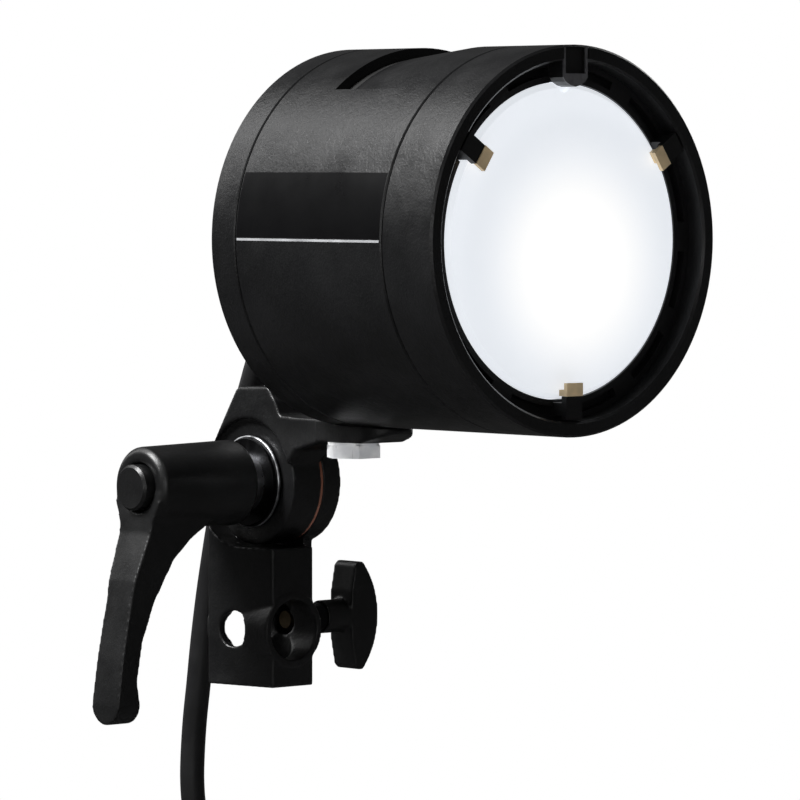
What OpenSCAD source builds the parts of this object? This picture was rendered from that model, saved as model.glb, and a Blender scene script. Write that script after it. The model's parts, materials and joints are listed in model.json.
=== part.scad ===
// Compact flash head with a fixed lamp cable, on a tilting light-stand adapter.
// The lamp points along -Y, the tilt axis runs along X and the stand's axis is Z.
// The origin is the centre of the stand socket's mouth. All sizes are millimetres.

/* [Lamp housing] */
// Outside diameter of the housing
housing_d = 100.6; // [92:0.2:121]
// Wall thickness of the main casing and the rear cap
housing_wall = 2.8; // [2.2:0.1:3.4]
// Length of the front collar
collar_len = 19; // [18:0.5:23]
// Length of the main casing
casing_len = 57; // [52:0.5:69]
// Length of the straight part of the rear cap
cap_len = 9.5; // [9:0.5:12]
// Length of the rear cap's cone
cone_len = 15; // [13:0.5:18]
// Radius of the flat rear face
rear_r = 34; // [32:0.5:38]
// Width of the rubber seals between the housing's parts
seal_w = 0.4; // [0.3:0.1:0.6]

/* [Glass and its holder] */
// Outside diameter of the frosted glass
glass_d = 81; // [76:0.5:84]
// Depth of the holder ring's face behind the front rim
ring_depth = 5.5; // [4.5:0.5:7]
// Thickness of the holder ring
ring_t = 4; // [3:0.5:5]
// Number of slots in the holder ring
ring_slots = 12; // [8:1:16]
// Angle of the two upper clips above the horizontal
clip_angle = 34; // [25:1:45]
// Width of a glass clip
clip_w = 5.6; // [4:0.2:7]
// Width of the index lug at the top of the collar
lug_w = 8.6; // [7:0.2:11]

/* [Casing details] */
// Start of the cooling scoop behind the front rim
scoop_start = 32; // [29:1:36]
// Length of the scoop's ramp
scoop_len = 22; // [18:1:24]
// Depth of the scoop at its slot
scoop_depth = 2.4; // [1.5:0.1:2.6]
// Width of the cooling slot
vent_w = 3.4; // [2.6:0.2:5]
// Angle that the scoop spans round the top
scoop_span = 78; // [50:1:90]
// Angle that the side panel spans
label_span = 19.5; // [12:0.5:24]

/* [Light source] */
// Diameter of the flash tube's ring
tube_ring_d = 36; // [30:1:42]
// Diameter of the flash tube's glass
tube_d = 6.4; // [5:0.2:7.6]
// Side of the cooling fan's square frame
fan_w = 60; // [50:1:62]
// Thickness of the cooling fan
fan_t = 12; // [10:0.5:14]
// Number of fan blades
fan_blades = 7; // [5:1:9]

/* [Tilting arm] */
// Height of the tilt axis above the mouth of the stand socket
tilt_h = 55.5; // [53:0.5:67]
// Height of the housing's underside above the tilt axis
saddle_rise = 16.7; // [15.5:0.1:20]
// Distance from the tilt axis forward to the back of the main casing
seat_back = 48.2; // [46:0.1:58]
// Radius of the tilt joint's discs
disc_r = 17.3; // [16:0.1:20.8]
// Left side of the arm
arm_left = -5; // [-6:0.5:-4]
// Right side of the arm, which is the face of the tilt joint
joint_x = 7; // [6:0.5:8]
// Left face of the arm's disc
cheek_left = -3; // [-4:0.5:-2]
// Width of the tongue under the housing
tongue_w = 16; // [13:0.5:19]
// Diameter of the tilt bolt
tilt_bolt_d = 8; // [7:0.5:9.6]
// Diameter of the foot bolt
foot_bolt_d = 6; // [5:0.5:7]
// Size across the flats of the foot bolt's head
foot_hex = 13; // [11:0.5:15]

/* [Stand adapter] */
// Diameter of the two stand sockets
socket_d = 16.4; // [14:0.1:17]
// Depth of the upright stand socket
socket_depth = 34; // [30:0.5:35]
// Wall round the cross socket where it stands proud
socket_wall = 1.8; // [1.5:0.1:2.4]
// Height of the cross socket's axis
cross_h = 15.5; // [14:0.5:17]
// Diameter of the umbrella hole
umbrella_d = 9.8; // [8:0.1:11]
// Width of the adapter's front face
block_front_w = 14.4; // [13:0.1:16]
// Width of the adapter at its back
block_back_w = 22.4; // [21.6:0.1:24]
// Distance from the stand's axis to the adapter's front face
block_front = 13.4; // [12:0.1:15]
// Distance from the stand's axis to the adapter's back face
block_back = 9.5; // [9:0.1:11.4]
// Thickness of the friction washer
washer_t = 0.8; // [0.6:0.1:1.2]
// Thickness of the adapter's ear
ear_t = 6.2; // [5:0.1:7.4]
// Running gap between the arm's disc and the adapter
saddle_gap = 0.9; // [0.5:0.1:1.4]

/* [Clamping lever] */
// Diameter of the lever's hub
hub_d = 21.8; // [20:0.2:24]
// Length of the lever's hub
hub_len = 33; // [30.5:0.5:35]
// Thickness of the thrust washer under the lever
thrust_t = 2.6; // [1.6:0.1:3.4]
// Diameter of the thrust washer
thrust_d = 25.2; // [22:0.2:28]
// Width of the lever's arm at the hub
lever_w = 13; // [11:0.5:15]
// Reach of the lever's arm below the tilt axis
lever_reach = 57.5; // [48:0.5:69]
// Diameter of the button at the hub's end
button_d = 12.4; // [10.4:0.2:12.6]
// How far the button stands out
button_proud = 3; // [2:0.5:4]

/* [Clamp knob] */
// Height of the knob's axis
knob_h = 17; // [15:0.5:19]
// Length of the knob's wing
wing_len = 30; // [25:1:36]
// Thickness of the wing
wing_t = 9.4; // [8:0.2:11.2]
// Depth of the wing at its middle
wing_depth = 9.6; // [8:0.2:11.4]
// Distance from the stand's axis to the wing
wing_x = 29.3; // [28:0.1:33]
// Diameter of the clamp screw
screw_d = 8; // [7:0.5:9]
// Thickness of the brass pressure pad
pad_t = 2; // [1.5:0.5:3]

/* [Cable] */
// Diameter of the lamp cable
cord_d = 7; // [6:0.5:8]
// Diameter of the coil at the middle of its turns
coil_d = 84; // [72:1:101]
// Diameter of the bundle of turns
bundle_d = 23.4; // [19.4:0.1:28]
// Diameter of the plug
plug_d = 20; // [17:0.5:22]
// Length of the plug's body
plug_len = 32; // [28:1:38]

/* [Hidden] */
$fn = 96;

// Clearances
fit = 0.05;
gap = 0.3;
edge = 0.6;
seam = 0.35;

// Housing, worked out from its diameter
housing_r = housing_d / 2;
lamp_h = tilt_h + saddle_rise + housing_r;
casing_z = collar_len;
cap_z = collar_len + casing_len;
cone_z = cap_z + cap_len;
rear_z = cone_z + cone_len;
rim_y = seat_back + casing_len + collar_len;
collar_in = housing_r - 4;
casing_in = housing_r - housing_wall;
glass_r = glass_d / 2;
glass_t = 2.2;
flange_r = glass_r + 2.2;
ring_back = ring_depth + ring_t;
glass_back = ring_back + 2.2;
shoulder_r = flange_r + gap;
clip_angles = [90, 180 + clip_angle, 360 - clip_angle];
clip_r = glass_r - 4.2;
clip_tip = 3.4;
clip_hook = 1.6;
clip_t = 1.2;
arm_t = 1.8;
clip_foot_r = glass_r + 0.9;
lug_z = 0.3;
lug_wall = 0.8;
lug_ridge = 0.8;
lug_recess = 1;
bulkhead_t = 4;
bowl_front = collar_len + bulkhead_t;
bowl_back = bowl_front + 22;
bowl_neck_r = tube_ring_d / 2 + tube_d / 2 + 2;
bowl_r = glass_r - 4;
bowl_mid_r = bowl_neck_r + (bowl_r - bowl_neck_r) * 0.4;
led_r = 8;
led_z = bowl_back + 4.5;
sink_z = led_z + 1.6;
sink_base_t = 3;
sink_len = 14;
sink_r = 30;
fan_z = cap_z + 1;
fan_hole_r = fan_w / 2 * 1.19;
post_r = 2.4;
board_w = 36;
board_t = 1.6;
board_y = casing_in - 9;
board_len = casing_len - 21;
vent_z = scoop_start + scoop_len;

// Tilt joint
tilt_r = tilt_bolt_d / 2;
ear_x = joint_x + washer_t;
ear_right = ear_x + ear_t;
thrust_x = -cheek_left + thrust_t;
hub_x = thrust_x + 4.6;
hub_end = hub_x + hub_len;
hub_root_r = hub_d / 2 + 0.8;
foot_x = -2;
foot_y = -(seat_back - 7.7);
foot_r = foot_bolt_d / 2;
foot_drop = saddle_rise - 4.3;
foot_head_t = 3.4;
foot_washer_t = 0.8;

// Adapter
socket_r = socket_d / 2;
cross_r = socket_r + socket_wall;
cross_front = block_front + 0.5;
cross_back = block_back + 2;
boss_x = 14;
ear_front = 5.4;
ear_base = socket_depth - 8;
block_top = tilt_h - 8;
groove_r = disc_r + saddle_gap;
ledge_z = tilt_h - groove_r + 0.6;
horn_x = -cheek_left + saddle_gap;
horn_r = 13.9;
horn_y = -2;
screw_r = screw_d / 2;
knob_boss_r = screw_r + 3;
pad_x = socket_r + 0.4;

// Lever's splined joint
spline_n = 24;
spline_r = 6.9;
spline_root = 6.2;
spline_x = hub_x + 8;
spline_len = 4;
shoulder_x = hub_x + 18;
web_t = 2;
screw_head_x = hub_end - 5;
lever_screw_r = 2.95;
bore_r = 6.7;

// Cable's route from the gland, then its coil and plug
gland_x = 12;
gland_z = 111.4;
gland_y = -(seat_back - cap_len - cone_len);
gland_tilt = 20;
gland_r = 7.4;
gland_thread_r = 6;
gland_seat = 3;
gland_end = 7.2;
cord_r = cord_d / 2;
route = [
    [12, -17, 109], [12, -10, 106.5], [12, -3.5, 104], [12, 2.1, 101.2],
    [12, 7.1, 97.6], [12, 11.4, 93.2], [12, 14.9, 87.9], [12, 17.9, 81],
    [12, 20.8, 74], [12, 23.8, 66.5], [12, 26.8, 58.5], [12, 29.8, 49.5],
    [12, 32.6, 40], [12, 35, 30], [12, 37.2, 20], [12, 39.4, 8],
    [12, 41.2, -4], [12, 42.8, -14], [12, 43.8, -24], [12, 44, -32.2],
    [12.9, 44, -39.7], [15.9, 44, -47.2], [21.1, 44, -54.1]
];
relief_steps = 4;
relief_r = 6;
relief_end_r = cord_r + 0.7;
coil_x = 12;
coil_y = 44;
coil_z = -107;
coil_r = coil_d / 2;
bundle_r = bundle_d / 2;
tail_x = coil_x + coil_r + 6;
tail_y = coil_y - 5.4;
tail_top = coil_z - 4;
plug_top = coil_z - 44;
tie_t = 1.3;
tie_span = 17;
tie_angle = 101;

// ---------- Helpers ----------

function unit(v) = v / norm(v);
function heading(p, i) = unit(p[min(i + 1, len(p) - 1)] - p[max(i - 1, 0)]);
function ring_points(c, t, r, n) =
    let (u = unit(cross(t, [1, 0, 0])), w = cross(u, t))
    [for (k = [0 : n - 1]) c + r * (cos(360 * k / n) * u + sin(360 * k / n) * w)];

// A tube along part of a route, from one of its points to another, with a radius at each point
module swept_tube(p, from, to, radii, n) {
    last = to - from;
    points = [for (i = [0 : last]) each ring_points(p[from + i], heading(p, from + i), radii[i], n)];
    sides = [
        for (i = [0 : last - 1], k = [0 : n - 1])
            [i * n + k, i * n + (k + 1) % n, (i + 1) * n + (k + 1) % n, (i + 1) * n + k]
    ];
    start = [[for (k = [n - 1 : -1 : 0]) k]];
    end = [[for (k = [0 : n - 1]) last * n + k]];
    polyhedron(points = points, faces = concat(start, sides, end));
}

// The lamp's own frame: z runs backwards from the front rim and y points down
module in_lamp() {
    translate([0, -rim_y, lamp_h]) rotate([-90, 0, 0]) children();
}

// The lever's own frame: z runs outwards to the left from the middle of the arm
module on_tilt_axis() {
    translate([0, 0, tilt_h]) rotate([0, -90, 0]) children();
}

// A cylinder along X between two places on the tilt axis
module tilt_cylinder(x0, x1, r) {
    translate([x0, 0, tilt_h]) rotate([0, 90, 0]) cylinder(h = x1 - x0, r = r);
}

// A washer or tube between two depths
module tube(z0, z1, r_out, r_in) {
    translate([0, 0, z0]) difference() {
        cylinder(h = z1 - z0, r = r_out);
        translate([0, 0, -1]) cylinder(h = z1 - z0 + 2, r = r_in);
    }
}

// A block bent round the lamp's axis, from one angle over a span
module arc_block(angle, span, r0, r1, z0, z1) {
    rotate([0, 0, angle]) rotate_extrude(angle = span)
        translate([r0, z0]) square([r1 - r0, z1 - z0]);
}

// The housing's outer shape as one solid, grown by a clearance
module housing_solid(grow = 0) {
    in_lamp() rotate_extrude() polygon([
        [0, 0], [housing_r + grow, 0], [housing_r + grow, cone_z],
        [rear_r + grow, rear_z], [0, rear_z]
    ]);
}

// Polygon of a splined shaft or hole
module spline_2d(r_tip, r_root) {
    step = 360 / spline_n;
    polygon([
        for (k = [0 : spline_n - 1], c = [[-0.26, r_root], [-0.16, r_tip], [0.16, r_tip], [0.26, r_root]])
            c[1] * [cos((k + c[0]) * step), sin((k + c[0]) * step)]
    ]);
}

// ---------- Front of the lamp ----------

module front_collar() {
    end_z = collar_len - seal_w;
    color("#1c1d1f") in_lamp() difference() {
        rotate_extrude($fn = 160) polygon([
            [collar_in + edge, 0], [housing_r - edge, 0], [housing_r, edge],
            [housing_r, end_z - seam], [housing_r - seam, end_z], [shoulder_r, end_z],
            [shoulder_r, ring_back], [collar_in, ring_back], [collar_in, edge]
        ]);
        translate([-lug_w / 2 - fit, -housing_r + lug_wall - fit, -1])
            cube([lug_w + 2 * fit, housing_r - collar_in + 1, ring_depth + 1]);
    }
}

module collar_seal() {
    color("#0c0c0d") in_lamp()
        tube(collar_len - seal_w, collar_len, housing_r - 0.8, casing_in);
}

module holder_ring() {
    pitch = 360 / ring_slots;
    slot_r = (glass_r + collar_in) / 2;
    color("#2b2c2f") in_lamp() difference() {
        tube(ring_depth, ring_back, collar_in - fit, glass_r + gap);
        for (k = [0 : ring_slots - 1])
            arc_block(k * pitch + 4, pitch - 10, slot_r - 1, slot_r + 1.4, ring_depth - 1, ring_depth + 2.5);
        for (a = clip_angles) rotate([0, 0, a])
            translate([glass_r - 1, -clip_w / 2 - fit, ring_depth - 1])
                cube([collar_in - glass_r - 0.4, clip_w + 2 * fit, 2.6]);
        translate([-lug_w / 2 - fit, -collar_in - 1, ring_depth - 1])
            cube([lug_w + 2 * fit, collar_in - glass_r + 2, 2.5]);
    }
}

module frosted_glass() {
    front_z = ring_depth - 1;
    color("#eef4fa") in_lamp() difference() {
        rotate_extrude($fn = 128) polygon([
            [0, front_z], [glass_r - 1.2, front_z], [glass_r, front_z + 1.2],
            [glass_r, ring_back + gap], [flange_r, ring_back + gap], [flange_r, glass_back],
            [glass_r - glass_t, glass_back], [glass_r - glass_t, front_z + glass_t],
            [0, front_z + glass_t]
        ]);
        translate([0, -glass_r - 0.6, front_z - 1]) cylinder(h = glass_t + 0.5, r = 3);
    }
}

module glass_seal() {
    color("#8d8f92") in_lamp()
        tube(glass_back, glass_back + 1.8, flange_r, glass_r - glass_t);
}

module glass_clips() {
    glass_z = ring_depth - 1;
    color("#a8814a") in_lamp() for (a = clip_angles) rotate([0, 0, a]) {
        translate([clip_r, -clip_w / 2, lug_z]) cube([clip_tip, clip_w, clip_t]);
        translate([clip_r + clip_tip - clip_hook, -clip_w * 0.3, lug_z + clip_t])
            cube([clip_hook, clip_w * 0.6, glass_z - lug_z - clip_t]);
    }
}

module clip_blocks() {
    tip_end = clip_r + clip_tip;
    foot_z = edge + arm_t;
    color("#161617") in_lamp() for (a = clip_angles) rotate([0, 0, a]) {
        translate([tip_end, -clip_w / 2, edge]) cube([collar_in - edge - tip_end, clip_w, arm_t]);
        translate([clip_foot_r, -clip_w / 2, foot_z])
            cube([collar_in - 1.5 - clip_foot_r, clip_w, ring_depth + 1.6 - foot_z]);
    }
}

module index_lug() {
    half = lug_w / 2;
    tip = glass_r - 1;
    outer = housing_r - lug_wall;
    color("#232427") in_lamp() difference() {
        translate([0, 0, lug_z]) linear_extrude(ring_depth - lug_z) polygon([
            [-half, -outer], [half, -outer], [half, -tip - 2.4], [half * 0.8, -tip - 1.3],
            [half * 0.4, -tip - 0.4], [0, -tip], [-half * 0.4, -tip - 0.4],
            [-half * 0.8, -tip - 1.3], [-half, -tip - 2.4]
        ]);
        translate([-half + lug_ridge, -housing_r, lug_z - 1])
            cube([lug_w - 2 * lug_ridge, housing_r - tip - 3.4, 1 + lug_recess]);
    }
}

// ---------- Inside of the lamp ----------

module bulkhead() {
    color("#8a8d91") in_lamp() difference() {
        tube(collar_len + gap, bowl_front, casing_in - fit, bowl_r + 0.2);
        for (k = [0 : 3]) rotate([0, 0, 45 + 90 * k])
            translate([casing_in - 4, 0, collar_len - 1]) cylinder(h = bulkhead_t + 2, r = 1.5);
    }
}

module reflector() {
    wall = 1.2;
    color("#d9dbdd") in_lamp() rotate_extrude() polygon([
        [bowl_r - wall, collar_len], [bowl_r + 0.2 - fit, collar_len],
        [bowl_r + 0.2 - fit, bowl_front], [bowl_r - 2, bowl_front + 5],
        [bowl_mid_r, bowl_front + 14], [bowl_neck_r + wall, bowl_back],
        [bowl_neck_r, bowl_back], [bowl_mid_r - wall, bowl_front + 13],
        [bowl_r - 2 - wall, bowl_front + 4.5], [bowl_r - wall, bowl_front]
    ]);
}

module tube_base() {
    leg = tube_ring_d / 2;
    color("#e9e4d8") in_lamp() difference() {
        tube(bowl_back - 4, led_z, bowl_neck_r - gap, 12.6);
        for (s = [-1, 1]) translate([s * leg, 0, bowl_back - 5])
            cylinder(h = 5, r = tube_d / 2 + fit);
    }
}

module flash_tube() {
    leg = tube_ring_d / 2;
    ring_z = bowl_front + 8;
    color("#dfe7f2") in_lamp() {
        translate([0, 0, ring_z]) rotate_extrude(angle = 180)
            translate([leg, 0]) circle(r = tube_d / 2, $fn = 32);
        for (s = [-1, 1]) translate([s * leg, 0, ring_z]) {
            sphere(r = tube_d / 2, $fn = 32);
            cylinder(h = bowl_back - ring_z, r = tube_d / 2);
        }
    }
}

module modelling_led() {
    color("#fff3c8") in_lamp() translate([0, 0, led_z]) difference() {
        sphere(r = led_r);
        cylinder(h = led_r + 1, r = led_r + 1);
    }
}

module led_board() {
    color("#f2f2ee") in_lamp() tube(led_z, sink_z, 16, 1.2);
}

module heat_sink() {
    color("#9a9da1") in_lamp() {
        tube(sink_z, sink_z + sink_base_t, sink_r, 1.2);
        for (k = [-6 : 6]) {
            half = sqrt(sink_r * sink_r - 16 * k * k);
            translate([4 * k - 0.6, -half, sink_z + sink_base_t]) cube([1.2, 2 * half, sink_len]);
        }
    }
}

module trigger_board() {
    color("#1f5a36") in_lamp()
        translate([-board_w / 2, -board_y - board_t, bowl_front + 12]) cube([board_w, board_t, board_len]);
}

module trigger_coil() {
    color("#3a3b3f") in_lamp() {
        translate([-13, -board_y, bowl_front + 15]) cube([12, 4.6, 14]);
        translate([8, -board_y + 3, bowl_front + 15]) cylinder(h = 12, r = 3);
    }
}

module fan_frame() {
    half = fan_w / 2;
    color("#1a1a1b") in_lamp() translate([0, 0, fan_z]) {
        difference() {
            translate([-half, -half, 0]) cube([fan_w, fan_w, fan_t]);
            translate([0, 0, -1]) cylinder(h = fan_t + 2, r = half - 2);
            for (a = [0 : 3]) rotate([0, 0, 45 + 90 * a])
                translate([fan_hole_r, 0, -1]) cylinder(h = fan_t + 2, r = 1.6);
        }
        translate([0, 0, fan_t - 2]) cylinder(h = 2, r = 11);
        for (a = [0 : 3]) rotate([0, 0, 20 + 90 * a])
            translate([10, -1, fan_t - 2]) cube([half - 11, 2, 2]);
    }
}

module fan_rotor() {
    half = fan_w / 2;
    color("#242426") in_lamp() translate([0, 0, fan_z]) {
        translate([0, 0, 0.8]) cylinder(h = fan_t - 4, r = 12);
        for (k = [0 : fan_blades - 1]) rotate([0, 0, k * 360 / fan_blades])
            translate([11, 0, fan_t / 2 - 1.2]) rotate([35, 0, 0])
                translate([0, -4, -0.6]) cube([half - 15, 8, 1.2]);
    }
}

// ---------- Casing and rear cap ----------

module main_casing() {
    color("#1e1f21") in_lamp() difference() {
        rotate_extrude($fn = 160) polygon([
            [casing_in, casing_z], [housing_r - seam, casing_z], [housing_r, casing_z + seam],
            [housing_r, cap_z - gap - seal_w], [housing_r - gap, cap_z - seal_w],
            [casing_in, cap_z - seal_w]
        ]);
        rotate([0, 0, 270 - scoop_span / 2]) rotate_extrude(angle = scoop_span) polygon([
            [housing_r + 1, scoop_start], [housing_r, scoop_start],
            [housing_r - scoop_depth, vent_z], [housing_r + 1, vent_z]
        ]);
        arc_block(270 - scoop_span / 2, scoop_span, casing_in - 1, housing_r + 1, vent_z, vent_z + vent_w);
        arc_block(181, label_span, housing_r - 0.5, housing_r + 1, casing_z + 0.6, cap_z - 1);
        arc_block(179.9, 0.7, housing_r - 0.3, housing_r + 1, casing_z + 0.6, cap_z - 1);
    }
}

module vent_strip() {
    color("#050505") in_lamp()
        arc_block(270 - scoop_span / 2, scoop_span, casing_in - 2.4, casing_in, vent_z - 2, vent_z + vent_w + 2);
}

module side_panel() {
    color("#08090a") in_lamp()
        arc_block(181, label_span, housing_r - 0.5, housing_r + 0.05, casing_z + 0.6, cap_z - 1);
}

module panel_trim() {
    color("#b9bcc0") in_lamp()
        arc_block(179.9, 0.7, housing_r - 0.3, housing_r + 0.05, casing_z + 0.6, cap_z - 1);
}

module cap_seal() {
    color("#0c0c0d") in_lamp() tube(cap_z - seal_w, cap_z, housing_r - 0.8, casing_in);
}

module gland_axis() {
    translate([gland_x, gland_y, gland_z]) rotate([-90 - gland_tilt, 0, 0]) children();
}

module rear_cap() {
    slope = cone_len / (housing_r - rear_r);
    color("#1c1d1f") difference() {
        union() {
            in_lamp() rotate_extrude($fn = 160) polygon([
                [housing_r - gap, cap_z], [housing_r, cap_z + gap], [housing_r, cone_z - 0.4],
                [housing_r - 0.5, cone_z + 0.2], [rear_r, rear_z], [0, rear_z],
                [0, rear_z - housing_wall], [rear_r - 1.4, rear_z - housing_wall],
                [casing_in, cone_z - 1], [casing_in, cap_z]
            ]);
            intersection() {
                union() {
                    translate([foot_x, foot_y, tilt_h + saddle_rise - 1]) cylinder(h = 11, r = 6);
                    in_lamp() for (k = [0 : 3]) rotate([0, 0, 45 + 90 * k])
                        translate([fan_hole_r, 0, fan_z + fan_t]) cylinder(h = cone_len, r = post_r);
                }
                in_lamp() rotate_extrude() polygon([
                    [0, cap_z + 0.5], [housing_r - 1, cap_z + 0.5], [housing_r - 1, cone_z - 0.6],
                    [rear_r - 1, rear_z - 1], [0, rear_z - 1]
                ]);
            }
            gland_axis() translate([0, 0, -3]) cylinder(h = 3 + gland_seat, r = gland_r + 1);
        }
        translate([foot_x, foot_y, tilt_h]) cylinder(h = saddle_rise + 9, r = foot_r + fit);
        gland_axis() translate([0, 0, -12]) cylinder(h = 24, r = gland_thread_r + fit);
        in_lamp() for (k = [0 : 4]) translate([-20, -10 - 4.4 * k, rear_z - 5]) cube([40, 2.2, 7]);
        in_lamp() for (k = [0 : 3]) rotate([0, 0, 45 + 90 * k])
            translate([rear_r - 4.2, 0, rear_z - 6]) {
                cylinder(h = 8, r = 1.5);
                translate([0, 0, 4.6]) cylinder(h = 4, r = 3);
            }
    }
}

module cap_screws() {
    color("#0f0f10") in_lamp() for (k = [0 : 3]) rotate([0, 0, 45 + 90 * k])
        translate([rear_r - 4.2, 0, rear_z - 10]) difference() {
            union() {
                cylinder(h = 9, r = 1.45);
                translate([0, 0, 8.6]) cylinder(h = 1.3, r = 2.8);
            }
            translate([0, 0, 8.9]) linear_extrude(3)
                polygon([for (c = [0 : 5]) 1.3 * [cos(60 * c), sin(60 * c)]]);
        }
}

module cable_gland() {
    color("#111112") difference() {
        gland_axis() {
            translate([0, 0, -6]) cylinder(h = 6 + gland_seat, r = gland_thread_r);
            translate([0, 0, gland_seat]) cylinder(h = gland_end - gland_seat, r = gland_r);
        }
        gland_axis() translate([0, 0, -8]) cylinder(h = 6, r = cord_r + fit);
    }
}

// ---------- Tilting arm ----------

module tilt_arm() {
    color("#222326") difference() {
        union() {
            translate([arm_left, 0, tilt_h]) rotate([90, 0, 90]) linear_extrude(joint_x - arm_left)
                polygon([
                    [15, 9.6], [5, 25], [3.6, 25.9], [-8.5, 26.2], [-11.5, 22.5], [-13.5, 18.6],
                    [-21, saddle_rise + 1.6], [foot_y - 10, saddle_rise + 1.6], [foot_y - 10, foot_drop],
                    [foot_y + 8, foot_drop], [-20, 9.2], [-16.4, 5], [0, 0]
                ]);
            tilt_cylinder(cheek_left, joint_x, disc_r);
            intersection() {
                translate([-tongue_w / 2, 0, tilt_h]) rotate([90, 0, 90]) linear_extrude(tongue_w)
                    polygon([
                        [foot_y + 9, foot_drop], [foot_y + 9, saddle_rise + 1.6],
                        [foot_y - 18, saddle_rise + 1.6], [foot_y - 18, foot_drop + 3],
                        [foot_y - 9, foot_drop]
                    ]);
                union() {
                    translate([0, foot_y - 17.5 + tongue_w / 2, tilt_h]) cylinder(h = 30, r = tongue_w / 2);
                    translate([-tongue_w / 2, foot_y - 17.5 + tongue_w / 2, tilt_h])
                        cube([tongue_w, 35, 30]);
                }
            }
        }
        housing_solid();
        tilt_cylinder(cheek_left - 10, joint_x + 1, tilt_r + fit);
        tilt_cylinder(cheek_left - 10, cheek_left, disc_r);
        translate([foot_x, foot_y, tilt_h]) cylinder(h = 30, r = foot_r + fit);
    }
}

module foot_washer() {
    color("#c9ced6") translate([foot_x, foot_y, tilt_h + foot_drop - foot_washer_t])
        tube(0, foot_washer_t, foot_hex / 2 + 0.4, foot_r + fit);
}

module foot_bolt() {
    head_r = foot_hex / 2 / cos(30);
    head_z = tilt_h + foot_drop - foot_washer_t - foot_head_t;
    color("#cfd6e2") translate([foot_x, foot_y, head_z]) {
        linear_extrude(foot_head_t) polygon([for (c = [0 : 5]) head_r * [cos(60 * c), sin(60 * c)]]);
        translate([0, 0, foot_head_t]) cylinder(h = saddle_rise - foot_drop + 8, r = foot_r);
    }
}

// ---------- Tilt joint ----------

module thrust_washer() {
    color("#d0d2d4") on_tilt_axis() difference() {
        rotate_extrude() polygon([
            [tilt_r + fit, -cheek_left], [thrust_d / 2 - 0.5, -cheek_left],
            [thrust_d / 2, -cheek_left + 0.5], [thrust_d / 2, thrust_x - 1.3],
            [thrust_d / 2 - 0.8, thrust_x - 0.9], [thrust_d / 2 - 0.8, thrust_x],
            [tilt_r + fit, thrust_x]
        ]);
    }
}

module friction_washer() {
    color("#7a3f2a") difference() {
        tilt_cylinder(joint_x, ear_x, disc_r - 0.4);
        tilt_cylinder(joint_x - 1, ear_x + 1, tilt_r + fit);
    }
}

module tilt_bolt() {
    head_r = 6.5 / cos(30);
    color("#b4b7bb") {
        tilt_cylinder(-hub_x - 8, ear_right - 3, tilt_r);
        translate([ear_right - 3, 0, tilt_h]) rotate([0, 90, 0]) linear_extrude(3)
            polygon([for (c = [0 : 5]) head_r * [cos(60 * c), sin(60 * c)]]);
    }
}

module bolt_cap() {
    color("#151516") translate([ear_right, 0, tilt_h]) rotate([0, 90, 0])
        rotate_extrude() polygon([[0, 0], [9, 0], [9, 0.6], [7.6, 1.6], [0, 1.9]]);
}

module stand_adapter() {
    head_r = 6.5 / cos(30) + fit;
    reach = 30;
    color("#1f2022") difference() {
        union() {
            linear_extrude(block_top) polygon([
                [-block_front_w / 2, -block_front], [block_front_w / 2, -block_front],
                [block_back_w / 2, block_back], [-block_back_w / 2, block_back]
            ]);
            translate([0, cross_back, cross_h]) rotate([90, 0, 0])
                cylinder(h = cross_back + cross_front, r = cross_r);
            tilt_cylinder(ear_x, ear_right, disc_r);
            translate([ear_x, -ear_front, ear_base]) cube([ear_t, block_back + ear_front, block_top - ear_base]);
            translate([0, 0, knob_h]) rotate([0, 90, 0]) cylinder(h = boss_x, r = knob_boss_r);
        }
        tilt_cylinder(-horn_x, ear_x, groove_r);
        translate([-reach, horn_y, ledge_z + horn_r]) rotate([0, 90, 0])
            cylinder(h = reach - horn_x, r = horn_r);
        translate([-reach, -reach, ledge_z]) cube([reach + ear_x, reach, reach]);
        translate([0, 0, -1]) cylinder(h = socket_depth + 1, r = socket_r);
        translate([0, reach, cross_h]) rotate([90, 0, 0]) cylinder(h = 2 * reach, r = socket_r);
        translate([-reach, 0.5, cross_h]) rotate([0, 90, 0]) cylinder(h = reach, r = umbrella_d / 2);
        translate([0, 0, knob_h]) rotate([0, 90, 0]) cylinder(h = reach, r = screw_r + fit);
        tilt_cylinder(ear_x - 1, ear_right + 1, tilt_r + fit);
        translate([ear_right - 3, 0, tilt_h]) rotate([0, 90, 0]) linear_extrude(4)
            polygon([for (c = [0 : 5]) head_r * [cos(60 * c), sin(60 * c)]]);
    }
}

// ---------- Clamping lever ----------

module lever_insert() {
    color("#77797c") on_tilt_axis() difference() {
        union() {
            translate([0, 0, thrust_x]) cylinder(h = hub_x - thrust_x - 0.2, r = 8);
            translate([0, 0, thrust_x]) cylinder(h = spline_x - thrust_x + spline_len + 5, r = 5.5);
            translate([0, 0, spline_x]) linear_extrude(spline_len) spline_2d(spline_r, spline_root);
        }
        translate([0, 0, thrust_x - 1]) cylinder(h = hub_x + 9 - thrust_x, r = tilt_r + fit);
        translate([0, 0, thrust_x]) cylinder(h = 40, r = lever_screw_r + fit);
    }
}

// The lever's arm seen from the front, hanging from the hub
module lever_front_2d() {
    r = lever_reach;
    x0 = -hub_end - 0.2;
    polygon([
        [x0, -1], [x0 - 1.2, -12], [x0 - 5.8, -r * 0.43], [x0 - 9.8, -r * 0.79], [x0 - 11.6, -r],
        [x0 - 11.8, -r - 8], [x0 - 3.6, -r - 8], [x0 - 3.9, -r], [x0 - 4.8, -r * 0.9],
        [x0 - 2.8, -r * 0.71], [x0 + 1.6, -r * 0.53], [x0 + 7.6, -r * 0.34],
        [x0 + 13, -r * 0.25], [x0 + 19.5, -10], [x0 + 25, -1]
    ]);
}

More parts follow.
